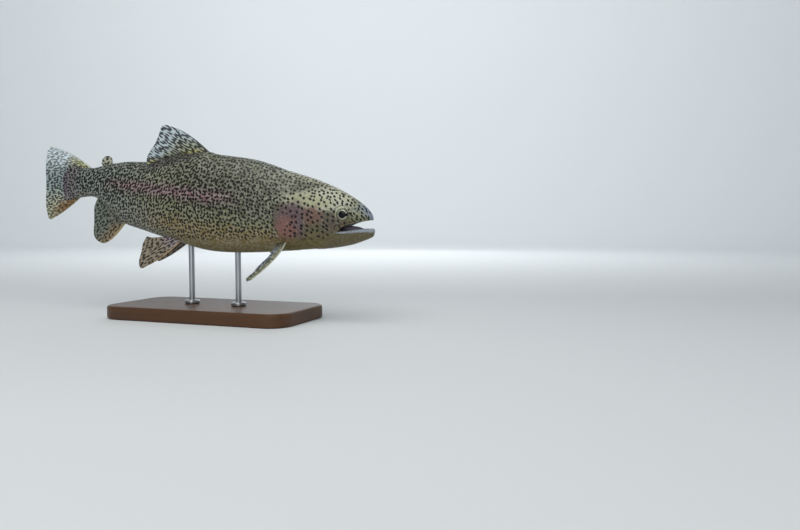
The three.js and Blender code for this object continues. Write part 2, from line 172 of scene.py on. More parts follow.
back, belly, half_width = profile(BACK), profile(BELLY), profile(HALF_WIDTH)
widest, squareness = profile(WIDEST), profile(SQUARENESS)
gape_top, gape_bottom = profile(GAPE_TOP), profile(GAPE_BOTTOM)
lateral_line = profile(LATERAL_LINE)


def middle_and_reach(station, upper):
    """The height where the body is widest, and how far the back or the belly lies from there."""
    middle = widest(station)
    return middle, np.where(upper, back(station) - middle, middle - belly(station))


def body_point(station, angle, swell=0.0):
    """Points on the body, or swell outside it. angle is 0 on the back ridge and grows by the left side."""
    across, up = np.sin(angle), np.cos(angle)
    power = 2 / np.where(up > 0, squareness(station), 2)
    middle, reach = middle_and_reach(station, up > 0)
    height = middle + np.sign(up) * np.abs(up) ** power * np.maximum(reach + swell, 0.05)
    width = np.maximum(half_width(station) + swell, 0.05)
    low = smooth(CHIN["below"] - height, 0, CHIN["over"])
    front = 1 - smooth(station, 0, CHIN["fade"])
    return np.stack(
        [station - CHIN["reach"] * low * front, np.sign(across) * np.abs(across) ** power * width, height], -1
    )


def angle_at(station, height):
    """The angle, from the back ridge, of the body's surface at a station and height."""
    upper = height > widest(station)
    middle, reach = middle_and_reach(station, upper)
    share = np.clip(np.abs(height - middle) / reach, 0, 1)
    power = np.where(upper, squareness(station), 2)
    return np.arccos(np.clip(np.where(upper, 1, -1) * share ** (power / 2), -1, 1))


def side_at(station, height):
    """Half width of the body at a station and height."""
    return np.abs(body_point(np.asarray(station, float), angle_at(station, height))[..., 1])


def swing(station):
    u = station / FORK_LENGTH
    return u * (SWING[0] + u * (SWING[1] + u * SWING[2]))


def posed(points):
    """Places straight-fish points, in millimetres, over the stand, in metres."""
    station, side, height = points[..., 0], points[..., 1], points[..., 2]
    turn = np.arctan(swing(station + 0.5) - swing(station - 0.5))
    x = MIDDLE_STATION - station + side * np.sin(turn)
    y = swing(station) - swing(MIDDLE_STATION) + side * np.cos(turn)
    tip, lift = math.sin(NOSE_DOWN), math.cos(NOSE_DOWN)
    return MM * np.stack([x * lift + height * tip, y, AXIS_HEIGHT - x * tip + height * lift], -1)


# Girth from the back ridge to the belly, for each station and angle, to lay scales and markings evenly.
GIRTH_ROWS = 300
GIRTH_COLUMNS = 181
girth_stations = np.linspace(0, FLESH_END, GIRTH_ROWS)
girth_angles = np.linspace(0, math.pi, GIRTH_COLUMNS)
girth_shares = np.linspace(0, 1, GIRTH_COLUMNS)
rings = body_point(girth_stations[:, None], girth_angles[None, :])[..., 1:]
steps_round = np.linalg.norm(np.diff(rings, axis=1), axis=-1)
girths = np.concatenate([np.zeros((GIRTH_ROWS, 1)), np.cumsum(steps_round, axis=1)], axis=1)
half_girth = girths[:, -1]
share_angles = np.stack([np.interp(girth_shares, row / row[-1], girth_angles) for row in girths])
steps_along = np.hypot(np.diff(girth_stations), np.diff(half_girth) / math.pi * 0.8)
lengths = np.concatenate([[0], np.cumsum(steps_along)])


def length_at(station):
    """How far along the surface a station lies, so that markings keep their size on the blunt snout."""
    return np.interp(station, girth_stations, lengths) + np.minimum(station, 0)


def in_table(table, station, share):
    """Reads a table of (station, share from 0 to 1) smoothly."""
    i = np.clip(station / FLESH_END, 0, 1) * (table.shape[0] - 1)
    j = np.clip(share, 0, 1) * (table.shape[1] - 1)
    i0, j0 = np.minimum(i.astype(int), table.shape[0] - 2), np.minimum(j.astype(int), table.shape[1] - 2)
    a, b = i - i0, j - j0
    upper = table[i0, j0] * (1 - b) + table[i0, j0 + 1] * b
    lower = table[i0 + 1, j0] * (1 - b) + table[i0 + 1, j0 + 1] * b
    return upper * (1 - a) + lower * a


def girth_at(station, angle):
    return np.sign(angle) * in_table(girths, station, np.abs(angle) / math.pi)


def angle_of_girth(station, girth):
    whole = np.interp(station, girth_stations, half_girth)
    return np.sign(girth) * in_table(share_angles, station, np.abs(girth) / whole)


def height_share(station, height):
    """1 on the back ridge, 0 where the body is widest, -1 on the belly."""
    middle, reach = middle_and_reach(station, height > widest(station))
    return np.clip((height - middle) / np.maximum(reach, 1), -1, 1)


# ---- Relief of the skin: folds, edges and hollows, as millimetres outwards ----


def gill_cover_ring(s, h):
    """1 on the gill cover's edge, less inside it."""
    back_by, up_by = s - GILL_COVER["station"], h - GILL_COVER["height"]
    tip, keep = math.sin(GILL_COVER["lean"]), math.cos(GILL_COVER["lean"])
    along = (back_by * keep + up_by * tip) / GILL_COVER["long"]
    across = (up_by * keep - back_by * tip) / GILL_COVER["tall"]
    return (along * along + across * across) ** 0.5


def coat_edge(s, h):
    """0 on the bare head, 1 where scales grow."""
    behind_cover = smooth(gill_cover_ring(s, h), 1.0, 1.04) * smooth(s, 88, 92)
    nape = smooth(h, 8, 20) * smooth(s, 86, 92)
    breast = smooth(h, -30, -38) * smooth(s, 92, 100)
    return np.maximum(behind_cover * smooth(s, 98, 103), np.maximum(nape, breast))


def blade_edge(s, h):
    """Distance outside the upper lip's blade, less than 0 on it."""
    off, along = distance_to_line(s, h, (LIP_BLADE["from"], LIP_BLADE["to"]))
    front, rear = LIP_BLADE["front_radius"], LIP_BLADE["rear_radius"]
    return off - front - (rear - front) * along


def relief(s, h, y):
    """How far the skin stands out from the plain body, less its inset."""
    ring = gill_cover_ring(s, h)
    rear = smooth(s, 76, 94)
    cover = (1 - smooth(ring, 0.985, 1.03)) * smooth(ring, 0.2, 0.95) * rear
    out = (GILL_COVER["rise"] - HEAD_INSET) * cover - 0.95 * hump(ring, 1.06, 0.04) * rear

    cheek, along = distance_to_line(s, h, CHEEK_EDGE)
    fade = smooth(along, 0, 0.12) * (1 - smooth(along, 0.85, 1))
    out += (0.5 * hump(cheek, 2.6, 1.8) - 0.85 * hump(cheek, 0, 1.1)) * fade
    out += 0.5 * hump(s, 52, 11) * hump(h, -4, 10)

    from_eye = np.hypot(s - EYE["station"], h - EYE["height"])
    out -= 2.2 * (1 - smooth(from_eye, 5.4, 7.1))
    out += 0.35 * hump(from_eye, 7.7, 0.7) - 0.3 * hump(from_eye, 9.8, 0.8)
    ridge, _ = distance_to_line(s, h, EYE_RIDGE)
    out += 0.3 * hump(ridge, 0, 1.5) - 0.25 * hump(ridge, 3, 1)
    for station, height, radius in NOSTRILS:
        hole = np.hypot(s - station, h - height)
        out -= 1.4 * (1 - smooth(hole, 0.35 * radius, 1.15 * radius))
        out += 0.3 * hump(hole, 1.6 * radius, 0.5)

    blade = blade_edge(s, h)
    above = smooth(h - gape_top(np.clip(s, -8, 35)), 0, 1.5)
    out += 1 - smooth(blade, -0.9, 0.4) - (0.25 + 0.65 * above) * hump(blade, 1, 0.8)
    hinge, along = distance_to_line(s, h, JAW_REAR)
    out -= 0.55 * hump(hinge, 0, 0.9) * (1 - smooth(along, 0.75, 1))
    fold, along = distance_to_line(s, h, JAW_FOLD)
    out -= 0.5 * hump(fold, 0, 0.9) * (1 - smooth(along, 0.7, 1))

    jaw_pores = np.hypot((s + 2) % 6 - 3, h + 17.5 + s * 0.22)
    cheek_pores = np.hypot((h + 40) % 5 - 2.5, s - 75.5 + h * 0.06)
    pores = 1 - smooth(np.minimum(jaw_pores, cheek_pores), 0.3, 0.9)
    out -= 0.35 * pores * (1 - smooth(s, 78, 80)) * smooth(-h, 4, 8)
    throat = smooth(-h, 26, 34) * smooth(s, 50, 62) * (1 - smooth(s, 92, 100))
    out += 0.28 * throat * np.sin((np.abs(y) * 0.9 + (s - 60) * 0.42) * 1.25)
    out -= 0.22 * hump(h, lateral_line(s), 0.8) * smooth(s, 106, 116)
    return out - HEAD_INSET - (COAT_DEPTH - HEAD_INSET) * coat_edge(s, h)


# ---- Pieces as Blender objects ----


def put(name, data):
    """A new object in the scene, for a mesh, a light or a camera."""
    made = bpy.data.objects.new(name, data)
    bpy.context.scene.collection.objects.link(made)
    return made


def mesh_from(bm, name):
    mesh = bpy.data.meshes.new(name)
    bm.to_mesh(mesh)
    bm.free()
    return mesh


def add_object(mesh, material):
    """A smooth-shaded object at the origin, named as its mesh."""
    mesh.materials.clear()
    mesh.materials.append(material)
    mesh.polygons.foreach_set("use_smooth", [True] * len(mesh.polygons))
    return put(mesh.name, mesh)


def add_piece(mesh, material, slot, *replaced):
    piece = add_object(mesh, material)
    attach(piece, "root")
    if replaced:
        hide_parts(*replaced)


def place_on(mesh, points):
    """Moves a mesh's vertices to straight-fish points, posed over the stand."""
    mesh.vertices.foreach_set("co", posed(points).astype(np.float32).ravel())
    mesh.update()


def get_places(mesh):
    points = np.zeros(len(mesh.vertices) * 3, np.float32)
    mesh.vertices.foreach_get("co", points)
    return points.reshape(-1, 3).astype(float)


def note(mesh, name, values):
    """Keeps values with the mesh's vertices, for its finish: three columns as a vector, or one number each."""
    kind, key = ("FLOAT_VECTOR", "vector") if values.ndim == 2 else ("FLOAT", "value")
    mesh.attributes.new(name, kind, "POINT").data.foreach_set(key, values.astype(np.float32).ravel())


# ---- The skin: one closed surface from the throat, over the lips, to the tail ----

COLUMNS = 216
MOUTH_ROWS = 18
OUTER_ROWS = 306
LIP_ROWS = 110  # rows near enough to the lips to ask how far they are from them
LIP_BLEND = 70.0  # by this station the rings stand upright again
CORNER_ANGLE = math.radians(102)
FLESH_NODES = (
    "head", "lower_jaw", "trunk", "tail_stalk", "gill_cover_right", "gill_cover_left", "upper_lip_blade_right",
    "upper_lip_blade_left",
)


def front_station(edge, outline):
    """Where an edge of the mouth meets the fish's own outline in the middle."""
    stations = np.linspace(-1.55, 3, 400)
    return float(stations[np.argmin(np.abs(outline(stations) - edge(stations)))])


def lip_line(angle):
    """The lip at each column: its station, its angle, its share of the way to the corner, and which lip."""
    side, turned = np.sign(angle), np.abs(angle)
    upper = turned <= CORNER_ANGLE
    share = np.where(upper, turned / CORNER_ANGLE, (math.pi - turned) / (math.pi - CORNER_ANGLE))
    start = np.where(upper, front_station(gape_top, back), front_station(gape_bottom, belly))
    station = start + (MOUTH_CORNER[0] - start) * share**2.1
    height = np.where(upper, gape_top(np.minimum(station, 35)), gape_bottom(np.minimum(station, 35)))
    closing = smooth(station, MOUTH_CORNER[0] - 6, MOUTH_CORNER[0])
    height = height + (MOUTH_CORNER[1] - height) * closing
    lip = np.where(share < 1e-6, turned, angle_at(station, height))
    return station, np.where(side < 0, -lip, lip), share, upper


def skin_table():
    """Straight-fish points for every row and column of the skin, and where each lies on the body."""
    columns = np.arange(COLUMNS)
    angle = -2 * math.pi * columns / COLUMNS
    angle = np.where(angle <= -math.pi, angle + 2 * math.pi, angle)
    lip_station, lip_angle, share, upper = lip_line(angle)

    t = np.linspace(0, 1, OUTER_ROWS + 1)[:, None]
    reach = FLESH_END * (0.33 * t + 0.67 * t**1.9)
    pull = np.clip(1 - reach / LIP_BLEND, 0, 1)
    station = reach + lip_station * pull**1.5
    turned = angle + (lip_angle - angle) * pull**1.8
    plain = body_point(station, turned)
    swell = relief(plain[..., 0], plain[..., 2], plain[..., 1])
    lip_roll = hump(reach, 1.9, 1.5) - 1.1 * hump(reach, 0, 0.8)
    swell = swell + 0.45 * lip_roll * (1 - 0.6 * share**3)
    outer = body_point(station, turned, swell)
    outer[-1] = (FLESH_END + 0.6, 0, float(widest(FLESH_END)))

    inwards = (1 - np.arange(MOUTH_ROWS) / MOUTH_ROWS)[:, None] ** 1.5
    lip = outer[0][None]
    throat = np.array([THROAT[0], 0, THROAT[1]])
    lining = lip + (throat - lip) * inwards[..., None]
    target = np.where(upper, MOUTH_ROOF, MOUTH_FLOOR)
    target = target + (THROAT[1] - target) * share**4
    drop = smooth(inwards, 0.05, np.where(upper, 0.4, 0.24))
    narrow = smooth(inwards, 0.55, 1.0)
    height = lip[..., 2] + (target - lip[..., 2]) * drop
    lining[..., 2] = height + (THROAT[1] - height) * narrow
    rows = np.concatenate([lining, outer])
    stations = np.concatenate([np.repeat(lip_station[None], MOUTH_ROWS, 0), station])
    angles = np.concatenate([np.repeat(lip_angle[None], MOUTH_ROWS, 0), turned])
    depth = np.concatenate([np.repeat(inwards, COLUMNS, 1), np.zeros_like(station)])
    away = np.full(rows.shape[:2], 99.0)
    near = slice(MOUTH_ROWS, MOUTH_ROWS + LIP_ROWS)
    away[near] = np.linalg.norm(rows[near, :, None] - lip[None], axis=-1).min(axis=-1)
    jaw = np.repeat(np.where(upper, 0.0, smooth(share, 0.97, 0.8))[None], len(rows), 0)
    return rows, stations, angles, np.stack([depth, away, jaw], -1)


def make_skin(material):
    rows = MOUTH_ROWS + OUTER_ROWS
    bm = bmesh.new()
    bm.loops.layers.uv.new("OFBake")
    bmesh.ops.create_uvsphere(bm, u_segments=COLUMNS, v_segments=rows, radius=1, calc_uvs=True)
    mesh = mesh_from(bm, "skin")
    add_piece(mesh, material, "skin", *FLESH_NODES)
    ball = get_places(mesh)
    row = np.rint(np.arccos(np.clip(ball[:, 2], -1, 1)) / math.pi * rows).astype(int)
    column = np.rint(np.arctan2(ball[:, 1], ball[:, 0]) / (2 * math.pi) * COLUMNS).astype(int) % COLUMNS
    table, stations, angles, lip = skin_table()
    places = table[row, column]
    station, angle = stations[row, column], angles[row, column]
    place_on(mesh, places)
    note(mesh, "place", places)
    share = height_share(station, places[:, 2])
    note(mesh, "wrap", np.stack([length_at(station), girth_at(station, angle), share], -1))
    note(mesh, "lip", lip[row, column])
    s, h = places[:, 0], places[:, 2]
    note(mesh, "off_blade", blade_edge(s, h))
    note(mesh, "off_cheek_edge", distance_to_line(s, h, CHEEK_EDGE)[0])


# ---- Scales: small domed plates in rows, each lying over the next towards the tail ----

SCALE_LENGTH = 3.6
SCALE_WIDTH = 2.7
SCALE_DOME = 0.16
SCALE_LIFT = 0.34  # how far a scale's free end stands over its root
SCALES_FROM, SCALES_TO = 87.0, 441.0
ROW_STEP = 1.26  # from one row to the next, at full size
ROW_PITCH = 3.95  # from one scale to the next in its row
UNEVEN = 0.08  # how far a root strays from its place
BACK_PART = 0.42  # how much of the half girth the two pieces of the back take
BAKE_PATCH = 0.003  # how wide a scale lies in the UV map


def scale_shape():
    """One scale: a thin lens with ten sides and a crisp rim, from -1 to 1 in both directions."""
    bm = bmesh.new()
    bmesh.ops.create_cone(bm, cap_ends=True, cap_tris=True, segments=10, radius1=1, radius2=0, depth=1)
    bmesh.ops.remove_doubles(bm, verts=bm.verts, dist=1e-4)
    for vert in bm.verts:
        middle = math.hypot(vert.co.x, vert.co.y) < 1e-3
        vert.co.z = (1 if vert.co.z > 0 else -0.3) if middle else 0
    for edge in bm.edges:
        edge.smooth = not all(math.hypot(v.co.x, v.co.y) > 0.5 for v in edge.verts)
    return mesh_from(bm, "scale_shape")


def copies_of(mesh, count, name):
    """One mesh that holds a shape count times, made with an Array and joined."""
    source = put(name, mesh)
    array = source.modifiers.new("rows", "ARRAY")
    array.count = count
    array.use_relative_offset = False
    whole = source.evaluated_get(bpy.context.evaluated_depsgraph_get())
    joined = bpy.data.meshes.new_from_object(whole)
    joined.name = name
    bpy.data.objects.remove(source)
    return joined


def scale_lattice():
    """Roots of all scales, as station, girth from the back ridge and size."""
    rng = np.random.default_rng(11)
    stations, sizes = [], []
    station = SCALES_FROM
    while station < SCALES_TO:
        size = 0.72 + 0.28 * smooth(station, 88, 125) - 0.26 * smooth(station, 300, 430)
        stations.append(station)
        sizes.append(size)
        station += ROW_STEP * size
    found = []
    for i, (station, size) in enumerate(zip(stations, sizes)):
        whole = float(np.interp(station, girth_stations, half_girth))
        pitch = ROW_PITCH * (0.55 + 0.45 * size)
        for side in (RIGHT, LEFT):
            girth = np.arange(0.25 + 0.5 * (i % 2), whole / pitch) * pitch
            found.append(np.stack([np.full(len(girth), station), side * girth, np.full(len(girth), size)], -1))
    roots = np.concatenate(found)
    roots[:, 0] += rng.normal(0, UNEVEN, len(roots))
    roots[:, 1] += rng.normal(0, UNEVEN, len(roots))
    points = body_point(roots[:, 0], angle_of_girth(roots[:, 0], roots[:, 1]))
    grown = coat_edge(points[:, 0], points[:, 2]) > 0.55
    return roots[grown], rng.random(len(roots))[grown]


def make_scales(material):
    roots, tints = scale_lattice()
    shape = scale_shape()
    blank = get_places(shape)
    u, v, w = blank[None, :, 0], blank[None, :, 1], blank[None, :, 2]
    left = roots[:, 1] >= 0
    low = np.abs(roots[:, 1]) > np.interp(roots[:, 0], girth_stations, half_girth) * BACK_PART
    for name, chosen in (
        ("scales_back_right", ~left & ~low),
        ("scales_back_left", left & ~low),
        ("scales_flank_right", ~left & low),
        ("scales_flank_left", left & low),
    ):
        root, tint = roots[chosen], tints[chosen]
        mesh = copies_of(shape, len(root), name)
        size = root[:, 2:3]
        station = root[:, 0:1] + (0.35 + 0.5 * u) * SCALE_LENGTH * size
        girth = root[:, 1:2] + 0.5 * v * SCALE_WIDTH * size * (1 - 0.12 * u)
        station = np.minimum(station, FLESH_END - 0.3)
        angle = angle_of_girth(station, girth)
        plain = body_point(station, angle)
        lift = SCALE_LIFT * size * (0.5 + 0.5 * u) - 0.06 + (tint[:, None] - 0.5) * 0.07
        swell = relief(plain[..., 0], plain[..., 2], plain[..., 1]) + lift + SCALE_DOME * size * w
        places = body_point(station, angle, swell).reshape(-1, 3)
        add_piece(mesh, material, "skin")
        place_on(mesh, places)
        note(mesh, "place", places)
        share = height_share(station.ravel(), places[:, 2])
        note(mesh, "wrap", np.stack([length_at(station.ravel()), girth.ravel(), share], -1))
        note(mesh, "tint", np.repeat(tint, len(blank)))
        note(mesh, "rim", np.tile(np.hypot(blank[:, 0], blank[:, 1]) * (0.5 + 0.5 * blank[:, 0]), len(root)))
        across, up = (root[:, k : k + 1] / 450 + blank[None, :, k] * BAKE_PATCH / 2 for k in (0, 1))
        patch = np.stack([across, 0.5 + up], -1).reshape(-1, 2)
        corners = np.zeros(len(mesh.loops), np.int32)
        mesh.loops.foreach_get("vertex_index", corners)
        while mesh.uv_layers:
            mesh.uv_layers.remove(mesh.uv_layers[0])
        mesh.uv_layers.new(name="OFBake").uv.foreach_set("vector", patch[corners].astype(np.float32).ravel())


# ---- Fins: two skins over branching rays, closed round the edge ----

DORSAL_FIN = {
    "root": ((214.5, 0, 61), (240, 0, 57), (266, 0, 51), (288, -1, 44)),
    "edge": (
        (261.5, -6, 86.8), (270, -7.5, 88.8), (279, -9, 90.2), (283, -10, 88), (285.6, -11, 80.5),
        (289.6, -12.5, 66.8), (295.4, -13.5, 56.4), (299.4, -14, 48.6), (299.8, -14, 43.7), (296.6, -13.5, 39.9),
    ),
    "front_bow": (0, 0, 2.7), "rear_bow": (0, -2, 1), "rays": 13,
}
ADIPOSE_FIN = {
    "root": ((366.5, 0, 33), (374, 0, 32), (382, 0, 29)),
    "edge": ((368.5, -0.5, 42.5), (373, -1, 45.1), (380.6, -1.5, 43.6), (384.3, -1.5, 39.8), (386, -1, 35)),
    "front_bow": (0, 0, 0), "rear_bow": (0, 0, 0), "rays": 0,
}
ANAL_FIN = {
    "root": ((338.5, 0, -36), (352, 0, -29.5), (368, 0, -19), (386, 0, -9.5)),
    "edge": (
        (367, -3, -67), (372, -3, -68.8), (379, -3.5, -67.8), (384.4, -4, -64.8), (388.4, -4, -58),
        (389.7, -4, -46.4), (390.6, -3.5, -32), (390.8, -3, -21.6), (390.2, -2, -15),
    ),
    "front_bow": (0, 0, -3.5), "rear_bow": (0, -1, 0), "rays": 12,
}
TAIL_FIN = {
    "root": (
        (401, 0, 26.3), (421, 0, 23.5), (438, 0, 16), (442, 0, 3), (438, 0, -9), (428, 0, -13), (415, 0, -9.5),
    ),
    "edge": (
        (481.5, 5, 49.6), (485.8, 5, 46), (486.3, 4.5, 35), (485, 3, 20), (482.9, 2, 3.5), (482, 2.5, -11.5),
        (481.7, 3.5, -26.6), (480.8, 4.5, -39), (477.8, 5, -47.6), (473.4, 5, -48.8),
    ),
    "front_bow": (0, 0, 4.9), "rear_bow": (0, 0, -2.4), "rays": 21,
}
PELVIC_ROOT = ((241, 9, -48.5), (250, 10.5, -46.5), (260, 11.5, -44.5))
PELVIC_FIN_SPREAD = {
    "root": PELVIC_ROOT,
    "edge": (
        (279, 26, -85), (284.5, 27, -88), (288.5, 26.5, -86), (290.5, 24.5, -77.5), (292, 21, -68),
        (292.5, 17.5, -58), (291.5, 14, -49),
    ),
    "front_bow": (-2.5, 2, -2.5), "rear_bow": (0, 2, -2), "rays": 10,
}
PELVIC_FIN_FOLDED = {
    "root": PELVIC_ROOT,
    "edge": (
        (298, 22.5, -82.5), (303, 23, -84), (307, 22, -82), (309.5, 20, -76.5), (309, 17.5, -69),
        (306, 15, -60.5), (301, 13, -52),
    ),
    "front_bow": (0, 1, -1.5), "rear_bow": (0, 2, -2), "rays": 10,
}
PECTORAL_ROOT = ((93, 17.5, -31), (99, 18, -34), (105.5, 17, -36.5))
PECTORAL_FIN_DOWN = {
    "root": PECTORAL_ROOT,
    "edge": (
        (113.5, 53.5, -75.5), (117.8, 53.5, -77.8), (121.5, 50, -76.6), (120.5, 43.5, -71.5), (117.7, 36.5, -65),
        (114.5, 29, -56),
    ),
    "front_bow": (-8, 2, 3.5), "rear_bow": (-1.5, 1, -1.5), "rays": 13,
}
PECTORAL_FIN_OUT = {
    "root": PECTORAL_ROOT,
    "edge": ((139, 54, -50), (143, 52, -52), (145, 46, -53), (144, 40, -53), (140, 34, -52), (134, 29, -50)),
    "front_bow": (-2, 5, 1), "rear_bow": (2, 4, 1), "rays": 13,
}
FIN_EDGE = 0.7  # thickness at the edge
FIN_ROOT = 1.8  # and at the root
FIN_STEPS = 44  # from root to edge
RAY_STEPS = 16  # across each ray


def fin_sheet(plan, side):
    root, edge = path_through(plan["root"]), path_through(plan["edge"])
    front, rear = np.array(plan["front_bow"], float), np.array(plan["rear_bow"], float)

    def sheet(u, v):
        u, v = np.asarray(u, float), np.asarray(v, float)
        push = front + (rear - front) * u[..., None]
        point = root(u) + (edge(u) - root(u)) * v[..., None] + push * (4 * v * (1 - v))[..., None]
        return point * np.array([1, side, 1])

    return sheet


def ray_height(u, v, rays):
    """How proud the rays stand: single at the root, forked once and again towards the edge."""
    if not rays:
        return np.zeros_like(u)

    def ribs(count):
        return 0.5 + 0.5 * np.cos(2 * math.pi * count * u)

    forked = smooth(v, 0.4, 0.6)
    again = smooth(v, 0.72, 0.9)
    return ribs(rays) * (1 - forked) + ribs(2 * rays) * forked * (1 - 0.6 * again) + ribs(4 * rays) * again * 0.3


def make_fin(name, plan, material, side=LEFT):
    rays = plan["rays"]
    across = max(rays * RAY_STEPS, 40)
    bm = bmesh.new()
    uv = bm.loops.layers.uv.new("rays")
    for out in (1, -1):
        face = bmesh.ops.create_grid(bm, x_segments=across, y_segments=FIN_STEPS, size=1)["verts"]
        bmesh.ops.translate(bm, verts=face, vec=(0, 0, out))
    bmesh.ops.bridge_loops(bm, edges=[e for e in bm.edges if e.is_boundary])
    bmesh.ops.recalc_face_normals(bm, faces=bm.faces)
    for face in bm.faces:
        for loop in face.loops:
            loop[uv].uv = (loop.vert.co.x / 2 + 0.5, loop.vert.co.y / 2 + 0.5)
    mesh = mesh_from(bm, name + "_skin")
    add_piece(mesh, material, "fin", name)
    blank = get_places(mesh)
    u, v, face = blank[:, 0] / 2 + 0.5, blank[:, 1] / 2 + 0.5, blank[:, 2]
    sheet = fin_sheet(plan, side)
    fringe = 0.014 * (1 - ray_height(u, np.ones_like(u), rays)) if rays else 0
    v = v * (1 - fringe * smooth(v, 0.8, 1.0))
    along = sheet(u, np.minimum(v + 0.01, 1)) - sheet(u, np.maximum(v - 0.01, 0))
    sideways = sheet(np.minimum(u + 0.01, 1), v) - sheet(np.maximum(u - 0.01, 0), v)
    normal = np.cross(sideways, along)
    normal /= np.maximum(np.linalg.norm(normal, axis=1, keepdims=True), 1e-9)
    thick = (FIN_ROOT + (FIN_EDGE - FIN_ROOT) * np.minimum(v * 1.6, 1)) / 2
    border = np.minimum(np.minimum(u, 1 - u) * 40, (1 - v) * 30)
    rounded = np.sqrt(np.clip(border, 0.08, 1))
    proud = 0.55 + 0.45 * ray_height(u, v, rays) if rays else 1
    ripple = 0.5 * np.sin(u * 17 + v * 3) * v**2 if rays else 0
    points = sheet(u, v) + normal * (face * thick * proud * rounded + ripple)[:, None]
    place_on(mesh, points)
    bm = bmesh.new()
    bm.from_mesh(mesh)
    if bm.calc_volume(signed=True) < 0:
        bmesh.ops.reverse_faces(bm, faces=bm.faces)
    bm.to_mesh(mesh)
    bm.free()
    ladder = np.linspace(0, 1, 9)
    length = np.linalg.norm(sheet(ladder, np.ones(9)) - sheet(ladder, np.zeros(9)), axis=1)
    note(mesh, "fan", np.stack([u, v, np.interp(u, ladder, length) * v], -1))
    note(mesh, "place", points)


# ---- Eyes, tongue ----


def make_eye(name, side, material):
    station, height = EYE["station"], EYE["height"]
    bm = bmesh.new()
    bmesh.ops.create_uvsphere(bm, u_segments=64, v_segments=40, radius=1)
    mesh = mesh_from(bm, name + "_ball")
    add_piece(mesh, material, "eye", name)
    ball = get_places(mesh)
    forward, up, out = ball[:, 0], ball[:, 1] * -side, ball[:, 2]
    spread = np.hypot(forward, up)
    lens = 0.22 * (1 - smooth(spread, 0.18, 0.36)) - 0.12 * hump(spread, 0.5, 0.12)
    middle = float(side_at(station, height)) - EYE["sunk"]
    radius = EYE["radius"] - 0.15
    depth = out * (EYE["thickness"] - 0.1) + np.where(out > 0, lens, 0)
    points = np.stack([station - forward * radius, side * (middle + depth), height + up * radius], -1)
    place_on(mesh, points)
    note(mesh, "gaze", np.stack([forward * radius, up * radius, out], -1))


def make_tongue(material):
    bm = bmesh.new()
    bmesh.ops.create_uvsphere(bm, u_segments=32, v_segments=20, radius=1)
    mesh = mesh_from(bm, "tongue_skin")
    add_piece(mesh, material, "mouth", "tongue")
    ball = get_places(mesh)
    points = ball * [TONGUE["long"], TONGUE["wide"], TONGUE["thick"]] + [TONGUE["station"], 0, TONGUE["height"]]
    points[:, 2] -= np.where(ball[:, 2] > 0, 0.7 * hump(ball[:, 1], 0, 0.25), 0)
    place_on(mesh, points)
    note(mesh, "place", points)


# ---- Finishes ----

MARK_SCALE = 0.112  # of the pattern that draws the marks, in 1 / mm
MARK_PITCH = 4.2  # how far apart it sets them, in mm
INK_STRENGTH = 0.88  # of the marks on the fins


def colour(hex_code):
    """A paint named by its screen code, as the linear colour a shader wants."""
    parts = [int(hex_code[i : i + 2], 16) / 255 for i in (0, 2, 4)]
    return tuple(c / 12.92 if c <= 0.04045 else ((c + 0.055) / 1.055) ** 2.4 for c in parts) + (1.0,)


def sum_of(operation):
    return lambda shade, other: shade.finish.math(operation, shade, other)


class Shade:
    """One output of a finish's nodes. Sums and products of it add their own Math nodes."""

    def __init__(self, finish, socket):
        self.finish = finish
        self.socket = socket

    def __rsub__(self, other):
        return self.finish.math("SUBTRACT", other, self)

    __add__ = __radd__ = sum_of("ADD")
    __sub__ = sum_of("SUBTRACT")
    __mul__ = __rmul__ = sum_of("MULTIPLY")
    __truediv__ = sum_of("DIVIDE")
    __pow__ = sum_of("POWER")


